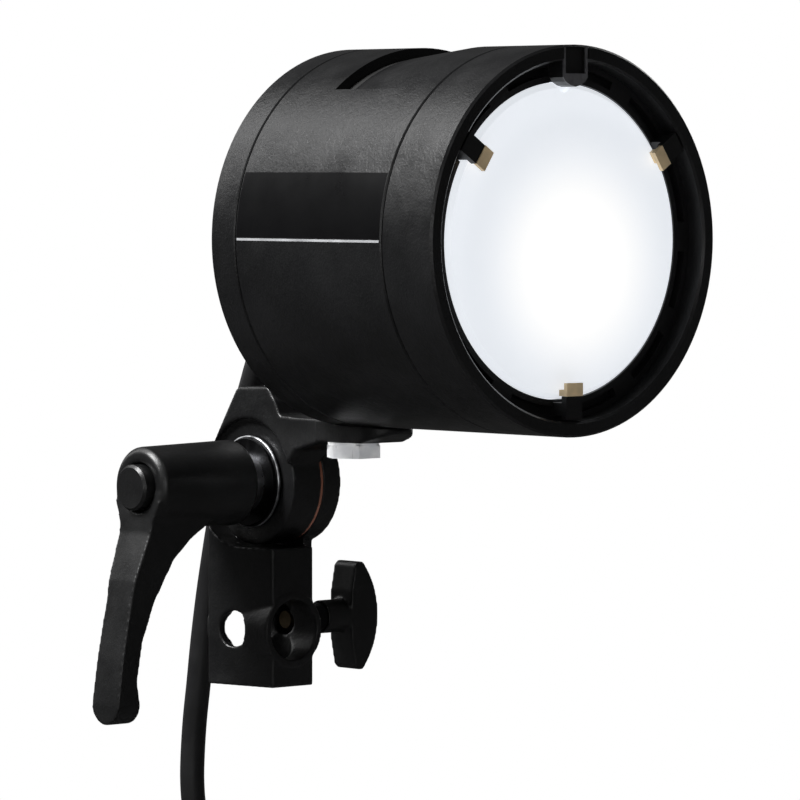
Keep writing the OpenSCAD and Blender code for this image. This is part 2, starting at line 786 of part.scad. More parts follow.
// The lever's arm seen from the side, with a round end
module lever_side_2d() {
    r = lever_reach;
    w = lever_w;
    hull() {
        translate([0, -r * 0.5]) square([w * 0.83, 0.1], center = true);
        translate([0, -r]) circle(r = w * 0.44, $fn = 48);
    }
    polygon([
        [-hub_d / 2 + 2, 0], [-hub_d / 2 + 1.6, -4], [-w * 0.5 - 0.4, -9.5], [-w * 0.42, -r * 0.5],
        [w * 0.42, -r * 0.5], [w * 0.5 + 0.4, -9.5], [hub_d / 2 - 1.6, -4], [hub_d / 2 - 2, 0]
    ]);
}

module lever_handle() {
    color("#1b1c1e") difference() {
        union() {
            on_tilt_axis() rotate_extrude() polygon([
                [0, hub_x], [hub_root_r - 1, hub_x], [hub_root_r, hub_x + 1],
                [hub_d / 2, hub_end - 1.4], [hub_d / 2 - 1.4, hub_end], [0, hub_end]
            ]);
            translate([0, 0, tilt_h]) intersection() {
                translate([0, 20, 0]) rotate([90, 0, 0]) linear_extrude(40) lever_front_2d();
                translate([-80, 0, 0]) rotate([90, 0, 90]) linear_extrude(80) lever_side_2d();
            }
        }
        on_tilt_axis() {
            translate([0, 0, hub_x - 1]) cylinder(h = spline_x - hub_x + 1.2, r = spline_r + 0.2);
            translate([0, 0, spline_x]) linear_extrude(spline_len)
                spline_2d(spline_r + 0.12, spline_root + 0.12);
            translate([0, 0, spline_x + spline_len - 0.01])
                cylinder(h = shoulder_x - spline_x - spline_len, r = 5.7);
            translate([0, 0, hub_x]) cylinder(h = 40, r = lever_screw_r + 0.25);
            translate([0, 0, shoulder_x + web_t]) cylinder(h = 40, r = bore_r);
        }
    }
}

module lever_spring() {
    turns = 5;
    wire = 0.45;
    z0 = shoulder_x + web_t + wire + 0.02;
    z1 = screw_head_x - wire - 0.02;
    n = 16 * turns;
    helix = [
        for (i = [0 : n])
            [-(z0 + (z1 - z0) * i / n), 4.9 * cos(360 * i / 16), tilt_h + 4.9 * sin(360 * i / 16)]
    ];
    color("#a9abae") swept_tube(helix, 0, n, [for (i = [0 : n]) wire], 8);
}

module lever_screw() {
    color("#8e9195") on_tilt_axis() {
        translate([0, 0, hub_x + 10]) cylinder(h = screw_head_x - hub_x - 10, r = lever_screw_r);
        translate([0, 0, screw_head_x]) cylinder(h = 2.2, r = 5.6);
    }
}

module lever_button() {
    r = button_d / 2;
    top = hub_end + button_proud;
    color("#202124") on_tilt_axis() rotate_extrude() polygon([
        [0, screw_head_x + 2.2], [r, screw_head_x + 2.2], [r, top - 0.7], [r - 0.7, top], [0, top]
    ]);
}

// ---------- Clamp knob ----------

module pressure_pad() {
    color("#b08d4c") translate([pad_x, 0, knob_h]) rotate([0, 90, 0])
        cylinder(h = pad_t, r = screw_r - 1.6);
}

module clamp_screw() {
    color("#3b3c3e") translate([pad_x + pad_t, 0, knob_h]) rotate([0, 90, 0])
        cylinder(h = wing_x - pad_x - pad_t + 5, r = screw_r);
}

module wing_knob() {
    half = wing_len / 2;
    bulge = wing_depth * 0.58;
    arc_r = (half * half + bulge * bulge) / (2 * bulge);
    color("#1b1c1e") difference() {
        union() {
            translate([wing_x, wing_t / 2, knob_h]) rotate([90, 0, 0]) linear_extrude(wing_t)
                intersection() {
                    polygon([
                        [1.4, -half + 1], [2.6, -half], [wing_depth, -half], [wing_depth, half],
                        [2.6, half], [1.4, half - 1], [0, half * 0.45], [0, -half * 0.45]
                    ]);
                    translate([wing_depth - arc_r, 0]) circle(r = arc_r, $fn = 160);
                }
            translate([wing_x - 8.6, 0, knob_h]) rotate([0, 90, 0]) cylinder(h = 10, r = screw_r + 0.6);
        }
        translate([wing_x - 10, 0, knob_h]) rotate([0, 90, 0]) cylinder(h = 15, r = screw_r + 0.001);
    }
}

// ---------- Cable ----------

module strain_relief() {
    radii = [for (i = [0 : relief_steps]) relief_r + (relief_end_r - relief_r) * i / relief_steps];
    color("#101011") swept_tube(route, 0, relief_steps, radii, 24);
}

module cable_run() {
    last = len(route) - 1;
    color("#141415") swept_tube(route, relief_steps, last, [for (p = route) cord_r], 12);
}

module on_coil_axis() {
    translate([coil_x, coil_y, coil_z]) rotate([90, 0, 0]) children();
}

module coil_solid() {
    on_coil_axis() rotate_extrude() translate([coil_r, 0]) circle(r = bundle_r, $fn = 48);
}

module cable_coil() {
    color("#141415") coil_solid();
}

module cable_tie() {
    color("#2a2b2e") on_coil_axis() rotate([0, 0, tie_angle]) rotate_extrude(angle = tie_span)
        translate([coil_r, 0]) difference() {
            circle(r = bundle_r + fit + tie_t, $fn = 48);
            circle(r = bundle_r + fit, $fn = 48);
        }
}

module cable_tail() {
    color("#141415") difference() {
        translate([tail_x, tail_y, plug_top]) cylinder(h = tail_top - plug_top, r = cord_r);
        coil_solid();
    }
}

module plug_body() {
    r = plug_d / 2;
    color("#1a1b1d") translate([tail_x, tail_y, plug_top]) rotate([180, 0, 0]) rotate_extrude() polygon([
        [0, 0], [cord_r + 1, 0], [r - 1.5, 9], [r, 11], [r, plug_len * 0.6], [r - 2, plug_len * 0.6],
        [r - 2, plug_len], [0, plug_len]
    ]);
}

module plug_ring() {
    r = plug_d / 2;
    color("#8e9195") translate([tail_x, tail_y, plug_top]) rotate([180, 0, 0])
        tube(plug_len * 0.6 + 0.1, plug_len - 1, r + 1, r - 2 + fit);
}

module plug_pins() {
    color("#c8a24a") translate([tail_x, tail_y, plug_top - plug_len]) rotate([180, 0, 0])
        for (k = [0 : 5]) rotate([0, 0, 60 * k]) translate([plug_d * 0.24, 0, 0]) cylinder(h = 7, r = 0.9);
}

// ---------- Build ----------

front_collar();
collar_seal();
holder_ring();
frosted_glass();
glass_seal();
glass_clips();
clip_blocks();
index_lug();
bulkhead();
reflector();
tube_base();
flash_tube();
modelling_led();
led_board();
heat_sink();
trigger_board();
trigger_coil();
fan_frame();
fan_rotor();
main_casing();
vent_strip();
side_panel();
panel_trim();
cap_seal();
rear_cap();
cap_screws();
cable_gland();
strain_relief();
tilt_arm();
foot_washer();
foot_bolt();
thrust_washer();
friction_washer();
tilt_bolt();
bolt_cap();
stand_adapter();
lever_insert();
lever_handle();
lever_spring();
lever_screw();
lever_button();
pressure_pad();
clamp_screw();
wing_knob();
cable_run();
cable_coil();
cable_tie();
cable_tail();
plug_body();
plug_ring();
plug_pins();
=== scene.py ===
"""Compact studio flash head on a tilting stand adapter, with its cable and studio stage.

Everything is in metres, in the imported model's own frame: the lamp faces -Y, +Z is up and the
origin is the mouth of the stand socket.
"""

import json
import math

import bpy
from mathutils import Matrix, Vector

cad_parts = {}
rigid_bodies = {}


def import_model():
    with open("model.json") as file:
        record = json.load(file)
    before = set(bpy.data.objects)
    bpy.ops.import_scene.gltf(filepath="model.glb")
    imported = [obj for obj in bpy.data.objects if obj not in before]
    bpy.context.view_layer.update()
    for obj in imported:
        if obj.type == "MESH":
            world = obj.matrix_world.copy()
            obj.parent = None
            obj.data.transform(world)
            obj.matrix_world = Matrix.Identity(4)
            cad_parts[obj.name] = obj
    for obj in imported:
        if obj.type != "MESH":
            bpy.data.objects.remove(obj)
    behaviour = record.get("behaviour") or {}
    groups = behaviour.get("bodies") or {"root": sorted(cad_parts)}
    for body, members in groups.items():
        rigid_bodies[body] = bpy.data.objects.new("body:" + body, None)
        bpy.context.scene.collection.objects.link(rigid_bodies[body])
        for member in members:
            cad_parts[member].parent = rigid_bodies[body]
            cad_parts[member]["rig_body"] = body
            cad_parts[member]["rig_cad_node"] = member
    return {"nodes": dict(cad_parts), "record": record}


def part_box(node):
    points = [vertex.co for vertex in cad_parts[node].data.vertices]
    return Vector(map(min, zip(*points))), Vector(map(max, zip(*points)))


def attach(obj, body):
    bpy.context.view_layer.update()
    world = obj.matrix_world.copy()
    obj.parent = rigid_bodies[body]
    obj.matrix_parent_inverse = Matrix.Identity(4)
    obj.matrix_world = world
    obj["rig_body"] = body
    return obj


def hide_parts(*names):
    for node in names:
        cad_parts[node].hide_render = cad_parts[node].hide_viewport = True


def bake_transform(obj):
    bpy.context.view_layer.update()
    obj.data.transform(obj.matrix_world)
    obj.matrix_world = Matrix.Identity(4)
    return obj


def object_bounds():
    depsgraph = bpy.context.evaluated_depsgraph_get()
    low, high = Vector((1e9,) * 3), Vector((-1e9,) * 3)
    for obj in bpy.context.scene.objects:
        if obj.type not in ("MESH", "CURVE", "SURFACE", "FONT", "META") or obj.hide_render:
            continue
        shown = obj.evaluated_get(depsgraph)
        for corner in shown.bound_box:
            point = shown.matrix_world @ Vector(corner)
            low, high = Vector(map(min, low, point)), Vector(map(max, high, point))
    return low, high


bl_info = {
    "name": "Compact flash head",
    "version": (1, 0, 0),
    "blender": (4, 5, 0),
    "location": "View3D > Sidebar > Flash head",
    "description": "Builds the looks of a compact studio flash head round its packed frame",
    "category": "Object",
}

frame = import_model()
cad_low, cad_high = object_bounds()

# Places read from the frame
RIM_LOW, RIM_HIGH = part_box("front_collar")
LAMP_CENTRE = Vector((0, RIM_LOW[1], (RIM_LOW[2] + RIM_HIGH[2]) / 2))
LAMP_RADIUS = (RIM_HIGH[0] - RIM_LOW[0]) / 2
COIL_LOW, COIL_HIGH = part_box("cable_coil")
COIL_CENTRE = Vector([(a + b) / 2 for a, b in zip(COIL_LOW, COIL_HIGH)])
BUNDLE_RADIUS = (COIL_HIGH[1] - COIL_LOW[1]) / 2
COIL_RADIUS = (COIL_HIGH[0] - COIL_LOW[0]) / 2 - BUNDLE_RADIUS
PLUG_LOW, PLUG_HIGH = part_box("plug_body")
PLUG_TOP = Vector(((PLUG_LOW[0] + PLUG_HIGH[0]) / 2, (PLUG_LOW[1] + PLUG_HIGH[1]) / 2, PLUG_HIGH[2]))

# The cable's route from the end of its strain relief to the coil
ROUTE = [
    (0.012, 0.0071, 0.0976), (0.012, 0.0114, 0.0932), (0.012, 0.0149, 0.0879),
    (0.012, 0.0179, 0.081), (0.012, 0.0208, 0.074), (0.012, 0.0238, 0.0665),
    (0.012, 0.0268, 0.0585), (0.012, 0.0298, 0.0495), (0.012, 0.0326, 0.04),
    (0.012, 0.035, 0.03), (0.012, 0.0372, 0.02), (0.012, 0.0394, 0.008),
    (0.012, 0.0412, -0.004), (0.012, 0.0428, -0.014), (0.012, 0.0438, -0.024),
    (0.012, 0.044, -0.0322), (0.0129, 0.044, -0.0397), (0.0159, 0.044, -0.0472),
    (0.0211, 0.044, -0.0541),
]
# The bend that carries the cable from its route into the coil, in the coil's plane
JOIN_CENTRE = Vector((0.043, 0.044, -0.0322))
JOIN_RADIUS = 0.031
JOIN_DEGREES = (52, 59)
JOIN_ANGLE = math.radians(22.5)

# The coil: its turns, how many turns make one twist of the bundle, and the strands' distance from its middle
COIL_TURNS = 6
COIL_STRANDS = 7
STRAND_STEP = 0.0081
COIL_END = math.pi / 2 + COIL_TURNS * 2 * math.pi
STEPS_PER_TURN = 36

# The thrust washer's painted highlight: a light grey corner outside this radius and left of this X
TILT_HEIGHT = 0.0555
HIGHLIGHT_RADIUS = 0.0123
HIGHLIGHT_FROM = -0.0039

# Floor, light and camera background
FLOOR_RADIUS = 0.8
FLOOR_GAP = 0.006
LIGHT_AIM = Vector((0, -0.04, 0.08))
AMBIENT_LEVEL = 0.05
BACKDROP_LEVEL = 1.0


# ---------- Sizes and colours ----------


class CableSettings(bpy.types.PropertyGroup):
    """Sizes and colour of the lamp cable."""

    diameter: bpy.props.FloatProperty(
        name="Diameter", description="Outside diameter of the jacket",
        default=0.007, min=0.005, max=0.009, subtype="DISTANCE", unit="LENGTH",
    )
    length: bpy.props.FloatProperty(
        name="Length", description="Real length from the strain relief to the plug",
        default=1.82, min=1.0, max=3.0, subtype="DISTANCE", unit="LENGTH",
    )
    jacket: bpy.props.FloatVectorProperty(
        name="Jacket", description="Colour of the rubber jacket",
        default=(0.006, 0.006, 0.0065), size=3, subtype="COLOR", min=0, max=1,
    )


class CastingSettings(bpy.types.PropertyGroup):
    """How round the cast and moulded pieces are."""

    detail: bpy.props.FloatProperty(
        name="Detail", description="Smallest feature that the surfaces keep",
        default=0.00042, min=0.0002, max=0.001, subtype="DISTANCE", unit="LENGTH",
    )
    softness: bpy.props.IntProperty(
        name="Softness", description="How far the edges are rounded", default=5, min=0, max=20,
    )


class FinishColours(bpy.types.PropertyGroup):
    """Colours of the lamp's visible materials."""

    body: bpy.props.FloatVectorProperty(
        name="Housing paint", description="Satin textured paint",
        default=(0.0055, 0.0056, 0.006), size=3, subtype="COLOR", min=0, max=1,
    )
    casting: bpy.props.FloatVectorProperty(
        name="Castings", description="Paint on the arm and the adapter",
        default=(0.0045, 0.0046, 0.0049), size=3, subtype="COLOR", min=0, max=1,
    )
    nylon: bpy.props.FloatVectorProperty(
        name="Nylon", description="Lever, knob and plug",
        default=(0.0045, 0.0046, 0.0048), size=3, subtype="COLOR", min=0, max=1,
    )
    bronze: bpy.props.FloatVectorProperty(
        name="Clips", description="Spring clips that hold the glass",
        default=(0.80, 0.62, 0.38), size=3, subtype="COLOR", min=0, max=1,
    )
    glow: bpy.props.FloatProperty(
        name="Glow", description="Brightness of the modelling light behind the glass",
        default=0.95, min=0, max=5,
    )


class StageSettings(bpy.types.PropertyGroup):
    """Where the camera and the studio lights stand."""

    azimuth: bpy.props.FloatProperty(
        name="Azimuth", description="Camera's turn round the lamp",
        default=math.radians(-42.03), subtype="ANGLE", unit="ROTATION",
    )
    elevation: bpy.props.FloatProperty(
        name="Elevation", description="Camera's height angle",
        default=math.radians(2.58), subtype="ANGLE", unit="ROTATION",
    )
    distance: bpy.props.FloatProperty(
        name="Distance", description="From the front rim to the camera",
        default=1.3655, subtype="DISTANCE", unit="LENGTH",
    )
    aside: bpy.props.FloatProperty(
        name="Aside", description="Camera's step to its right",
        default=-0.0451, subtype="DISTANCE", unit="LENGTH",
    )
    rise: bpy.props.FloatProperty(
        name="Rise", description="Camera's step upwards",
        default=-0.0406, subtype="DISTANCE", unit="LENGTH",
    )
    lens: bpy.props.FloatProperty(
        name="Lens", description="Focal length in millimetres", default=240.1, min=50, max=400,
    )


# ---------- Materials ----------


def new_material(name, colour, roughness, metallic=0.0, **inputs):
    """A principled material whose even values are set on the shader's own sockets."""
    material = bpy.data.materials.new(name)
    material.use_nodes = True
    shader = material.node_tree.nodes["Principled BSDF"]
    shader.inputs["Base Color"].default_value = (*colour, 1)
    shader.inputs["Roughness"].default_value = roughness
    shader.inputs["Metallic"].default_value = metallic
    for key, value in inputs.items():
        shader.inputs[key.replace("_", " ")].default_value = value
    material.diffuse_color = (*colour, 1)
    return material, shader


def add(material, kind, **values):
    """Adds a node and sets its inputs or properties by name."""
    node = material.node_tree.nodes.new(kind)
    for key, value in values.items():
        if key in node.inputs:
            node.inputs[key].default_value = value
        else:
            setattr(node, key, value)
    return node


def join(material, out, into):
    """Links one socket to another."""
    material.node_tree.links.new(out, into)


def place(material, stretch=(1, 1, 1), shift=(0, 0, 0)):
    """Object coordinates, shifted and stretched, for a pattern that stays on the piece."""
    here = add(material, "ShaderNodeTexCoord")
    mapping = add(material, "ShaderNodeMapping")
    mapping.inputs["Location"].default_value = shift
    mapping.inputs["Scale"].default_value = stretch
    join(material, here.outputs["Object"], mapping.inputs["Vector"])
    return mapping.outputs["Vector"]


def noise(material, scale, detail=2.0, stretch=(1, 1, 1), roughness=0.5):
    """A noise pattern with a scale in features per metre."""
    node = add(material, "ShaderNodeTexNoise", Scale=scale, Detail=detail, Roughness=roughness)
    join(material, place(material, stretch), node.inputs["Vector"])
    return node.outputs["Fac"]


def spread(material, value, low, high, start=0.3, end=0.7):
    """Maps a pattern from start..end to low..high."""
    node = add(material, "ShaderNodeMapRange")
    node.inputs["From Min"].default_value = start
    node.inputs["From Max"].default_value = end
    node.inputs["To Min"].default_value = low
    node.inputs["To Max"].default_value = high
    join(material, value, node.inputs["Value"])
    return node.outputs["Result"]


def two_tone(material, value, first, second, start=0.35, end=0.65):
    """Colours between two tones by a pattern."""
    ramp = add(material, "ShaderNodeValToRGB")
    ramp.color_ramp.elements[0].position = start
    ramp.color_ramp.elements[1].position = end
    ramp.color_ramp.elements[0].color = (*first, 1)
    ramp.color_ramp.elements[1].color = (*second, 1)
    join(material, value, ramp.inputs["Fac"])
    return ramp.outputs["Color"]


def relief(material, shader, heights):
    """Stacks bumps: each is a pattern, a strength and a height in metres."""
    last = None
    for value, strength, height in heights:
        bump = add(material, "ShaderNodeBump", Strength=strength, Distance=height)
        join(material, value, bump.inputs["Height"])
        if last is not None:
            join(material, last, bump.inputs["Normal"])
        last = bump.outputs["Normal"]
    join(material, last, shader.inputs["Normal"])


def tone(colour, factor):
    """A lighter or darker tone of a colour."""
    return tuple(min(1.0, c * factor) for c in colour)


def grained(name, colour, roughness, grain, height, mottle=1.25, scuff=0.12, **inputs):
    """Paint, nylon or rubber: a fine grain, cloudy colour and rubbed, shinier patches."""
    material, shader = new_material(name, colour, roughness, **inputs)
    fine = noise(material, grain, 3.0, roughness=0.65)
    clouds = noise(material, 38, 3.0)
    rubs = noise(material, 95, 5.0, roughness=0.6)
    colours = two_tone(material, clouds, tone(colour, 1 / mottle), tone(colour, mottle))
    join(material, colours, shader.inputs["Base Color"])
    join(material, spread(material, rubs, roughness - scuff, roughness + scuff), shader.inputs["Roughness"])
    coarse = noise(material, grain * 0.33, 2.0)
    relief(material, shader, [(fine, 0.55, height), (coarse, 0.35, height * 1.5)])
    return material


def turned(name, colour, roughness, stretch, metallic=1.0, **inputs):
    """Metal with fine tool marks along one direction and faint stains."""
    material, shader = new_material(name, colour, roughness, metallic, **inputs)
    marks = noise(material, 700, 4.0, stretch)
    stains = noise(material, 160, 4.0)
    colours = two_tone(material, stains, tone(colour, 0.8), tone(colour, 1.12))
    join(material, colours, shader.inputs["Base Color"])
    join(material, spread(material, marks, roughness * 0.7, roughness * 1.4), shader.inputs["Roughness"])
    relief(material, shader, [(marks, 0.3, 0.00003)])
    return material


def rim_highlight_material(name):
    """Blackened steel with a painted highlight: its outer corner on the -X side is coloured light grey,
    patchy by a noise, to stand in for a bright edge line.
    """
    black, highlight_grey = (0.018, 0.018, 0.019), (0.62, 0.63, 0.65)
    material = turned(name, black, 0.4, (1, 1, 0.2))
    shader = material.node_tree.nodes["Principled BSDF"]
    from_axis = add(material, "ShaderNodeVectorMath", operation="LENGTH")
    join(material, place(material, (0, 1, 1), (0, 0, -TILT_HEIGHT)), from_axis.inputs[0])
    outside = add(material, "ShaderNodeMath", operation="GREATER_THAN")
    outside.inputs[1].default_value = HIGHLIGHT_RADIUS
    join(material, from_axis.outputs["Value"], outside.inputs[0])
    along = add(material, "ShaderNodeSeparateXYZ")
    join(material, place(material), along.inputs[0])
    corner = add(material, "ShaderNodeMath", operation="LESS_THAN")
    corner.inputs[1].default_value = HIGHLIGHT_FROM
    join(material, along.outputs["X"], corner.inputs[0])
    both = add(material, "ShaderNodeMath", operation="MULTIPLY")
    join(material, outside.outputs[0], both.inputs[0])
    join(material, corner.outputs[0], both.inputs[1])
    stains = noise(material, 420, 3.0)
    patchy = add(material, "ShaderNodeMath", operation="MULTIPLY")
    join(material, both.outputs[0], patchy.inputs[0])
    join(material, spread(material, stains, 0.35, 1.0), patchy.inputs[1])
    # Painted highlight: light grey on the washer's outer corner that faces -X
    colours = two_tone(material, patchy.outputs[0], black, highlight_grey, 0.1, 0.9)
    join(material, colours, shader.inputs["Base Color"])
    return material


def lug_highlight_material(name, colour):
    """Black paint with a painted highlight: its frontmost part, on the ridges at the front rim, is coloured
    lighter, patchy by a noise, to stand in for light caught on those edges.
    """
    material = grained(name, colour, 0.36, 2300, 0.00006)
    shader = material.node_tree.nodes["Principled BSDF"]
    depth = add(material, "ShaderNodeSeparateXYZ")
    join(material, place(material), depth.inputs[0])
    forward = spread(material, depth.outputs["Y"], 1, 0, RIM_LOW[1] + 0.0004, RIM_LOW[1] + 0.0009)
    front_highlight = add(material, "ShaderNodeMath", operation="MULTIPLY")
    join(material, forward, front_highlight.inputs[0])
    join(material, spread(material, noise(material, 700, 3.0), 0.6, 1.0), front_highlight.inputs[1])
    # Painted highlight: the lug's front ridges are coloured light grey where light catches them
    colours = two_tone(material, front_highlight.outputs[0], colour, (0.09, 0.09, 0.095), 0.1, 0.9)
    join(material, colours, shader.inputs["Base Color"])
    return material


def moulded(name, colour, roughness, **inputs):
    """A plain inner part: faint clouds and a soft grain."""
    return grained(name, colour, roughness, 900, 0.00003, 1.1, 0.06, **inputs)


def glass_disc_material(glow):
    """Frosted glass lit from behind: brightest and warm near the middle, cooler at its edge."""
    material, shader = new_material(
        "frosted glass", (0.45, 0.47, 0.50), 0.42, IOR=1.5, Coat_Weight=0.25, Coat_Roughness=0.2,
    )
    centre = place(material, (1, 0, 1), (-0.004, 0, -LAMP_CENTRE.z + 0.006))
    reach = add(material, "ShaderNodeVectorMath", operation="LENGTH")
    join(material, centre, reach.inputs[0])
    ramp = add(material, "ShaderNodeValToRGB")
    ramp.color_ramp.interpolation = "B_SPLINE"
    stops = [
        (0.0, (1.0, 0.99, 0.96)), (0.34, (1.0, 0.975, 0.93)), (0.62, (0.78, 0.80, 0.83)),
        (0.86, (0.66, 0.69, 0.73)), (1.0, (0.74, 0.77, 0.81)),
    ]
    while len(ramp.color_ramp.elements) < len(stops):
        ramp.color_ramp.elements.new(0.5)
    for element, (position, colour) in zip(ramp.color_ramp.elements, stops):
        element.position = position
        element.color = (*colour, 1)
    join(material, spread(material, reach.outputs["Value"], 0, 1, 0, LAMP_RADIUS * 0.82), ramp.inputs["Fac"])
    join(material, ramp.outputs["Color"], shader.inputs["Emission Color"])
    shader.inputs["Emission Strength"].default_value = glow
    frost = noise(material, 2600, 3.0)
    waves = noise(material, 55, 1.0)
    relief(material, shader, [(frost, 0.25, 0.00004), (waves, 0.25, 0.0006)])
    return material


def clear_glass_material():
    """Clear glass of the flash tube, with faint draw marks."""
    material, shader = new_material("tube glass", (0.9, 0.93, 0.96), 0.06, IOR=1.47)
    shader.inputs["Transmission Weight"].default_value = 1.0
    relief(material, shader, [(noise(material, 300, 2.0, (1, 1, 0.1)), 0.15, 0.0001)])
    return material


def phosphor_material():
    """Yellow phosphor under the modelling light's dome."""
    material, shader = new_material("phosphor", (0.9, 0.72, 0.25), 0.25, Coat_Weight=0.8)
    dots = add(material, "ShaderNodeTexVoronoi", Scale=900.0)
    join(material, place(material), dots.inputs["Vector"])
    colours = two_tone(material, dots.outputs["Distance"], (0.95, 0.78, 0.3), (0.8, 0.6, 0.18))
    join(material, colours, shader.inputs["Base Color"])
    return material


def woven_material(name, colour):
    """A hook-and-loop strap: crossed threads with a fuzzy sheen."""
    material, shader = new_material(name, colour, 0.85, Sheen_Weight=0.5, Sheen_Roughness=0.4)
    heights = []
    for axis in ("X", "Z"):
        wave = add(material, "ShaderNodeTexWave", Scale=220.0, Distortion=1.5, bands_direction=axis)
        join(material, place(material), wave.inputs["Vector"])
        heights.append((wave.outputs["Fac"], 0.5, 0.0002))
    colours = two_tone(material, noise(material, 500, 3.0), tone(colour, 0.6), tone(colour, 1.6))
    join(material, colours, shader.inputs["Base Color"])
    relief(material, shader, heights)
    return material


def make_materials(colours, cable):
    """Every finish, by the name of the record's material slot."""
    around_x = (0.05, 1, 1)
    around_y = (1, 0.05, 1)
    return {
        "body_black": grained("housing paint", colours.body, 0.36, 1500, 0.00016, 1.3, 0.07),
        # The index lug's lighter front ridges are a painted highlight
        "lug_black": lug_highlight_material("index lug", colours.body),
        # The pad's brass colour is darkened to stand in for the shade inside the cross socket: painted shade
        "pad_brass": turned("pad brass", (0.16, 0.12, 0.07), 0.45, (0.1, 1, 1)),
        "seal_rubber": grained("seal rubber", (0.004, 0.004, 0.004), 0.72, 1200, 0.00004),
        "ring_black": grained("holder moulding", (0.006, 0.006, 0.0066), 0.5, 1500, 0.00004),
        "frosted": glass_disc_material(colours.glow),
        "seal_grey": grained("grey silicone", (0.25, 0.26, 0.27), 0.6, 900, 0.00003),
        "clip_bronze": turned("clip bronze", colours.bronze, 0.42, (1, 1, 0.08), 0.25),
        "inner_alu": turned("inner aluminium", (0.62, 0.63, 0.65), 0.35, around_y),
        "inner_ceramic": moulded("ceramic", (0.72, 0.70, 0.64), 0.55),
        "tube_glass": clear_glass_material(),
        "led_yellow": phosphor_material(),
        "board_green": moulded("solder mask", (0.02, 0.13, 0.05), 0.3, Coat_Weight=0.6),
        "part_grey": moulded("component moulding", (0.05, 0.05, 0.055), 0.45),
        "panel_gloss": grained(
            "gloss panel", (0.0025, 0.0025, 0.0028), 0.3, 900, 0.00001, 1.05, 0.03, Specular_IOR_Level=0.22,
        ),
        "trim_silver": turned("silver trim", (0.62, 0.63, 0.65), 0.4, around_y, 0.6),
        # The thrust washer's light grey outer corner is a painted highlight
        "washer_worn": rim_highlight_material("thrust washer"),
        "screw_black": turned("blackened steel", (0.03, 0.03, 0.032), 0.38, (1, 1, 0.2)),
        # Zinc plate coloured near white with little metal: the light colour is a painted reflection of the
        # white surroundings
        "zinc": turned("zinc plate", (0.93, 0.95, 0.98), 0.34, (1, 1, 0.1), 0.15),
        "arm_black": grained("casting paint", colours.casting, 0.38, 1300, 0.00018, 1.3, 0.08),
        "friction": grained("friction disc", (0.16, 0.055, 0.03), 0.7, 900, 0.00006),
        "knob_black": grained("grained nylon", colours.nylon, 0.38, 1900, 0.00008, 1.25, 0.07),
        "cord_rubber": grained("cable jacket", tuple(cable.jacket), 0.46, 700, 0.00005, 1.2, 0.08),
        "tie_black": woven_material("strap weave", (0.02, 0.02, 0.022)),
    }


# ---------- Modelling helpers ----------


def deselect():
    """Nothing selected, and no active object."""
    bpy.ops.object.select_all(action="DESELECT")


def pick(piece):
    """Selects one object and makes it the active one."""
    deselect()
    piece.select_set(True)
    bpy.context.view_layer.objects.active = piece


def apply_all(piece):
    """Applies a piece's modifiers in order."""
    pick(piece)
    for modifier in list(piece.modifiers):
        bpy.ops.object.modifier_apply(modifier=modifier.name)


def settle(piece, body, slot_name):
    """Puts a finished piece's place into its mesh, smooths it, paints it and lets it ride."""
    pick(piece)
    bpy.ops.object.transform_apply(location=True, rotation=True, scale=True)
    bpy.ops.object.shade_smooth()
    piece.data.materials.clear()
    piece.data.materials.append(MATERIALS[slot_name])
    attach(piece, body)


def copy_node(node, name):
    """A free copy of a CAD node with its loose triangles merged."""
    source = frame["nodes"][node]
    piece = source.copy()
    piece.data = source.data.copy()
    piece.parent = None
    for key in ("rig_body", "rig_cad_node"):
        if key in piece:
            del piece[key]
    piece.name = name
    piece.data.name = name
    bpy.context.scene.collection.objects.link(piece)
    pick(piece)
    bpy.ops.object.mode_set(mode="EDIT")
    bpy.ops.mesh.select_all(action="SELECT")
    bpy.ops.mesh.remove_doubles(threshold=0.000002)
    bpy.ops.object.mode_set(mode="OBJECT")
    return piece


def smooth_path(points, steps):
    """A smooth line through the points, with some steps between each two."""
    ends = [Vector(points[0]) * 2 - Vector(points[1])]
    ends += [Vector(p) for p in points]
    ends += [Vector(points[-1]) * 2 - Vector(points[-2])]
    line = []
    for a, b, c, d in zip(ends, ends[1:], ends[2:], ends[3:]):
        for k in range(steps):
            t = k / steps
            line.append(0.5 * (2 * b + (c - a) * t + (2 * a - 5 * b + 4 * c - d) * t * t
                               + (3 * b - a - 3 * c + d) * t ** 3))
    line.append(ends[-2])
    return line


# ---------- Operators ----------


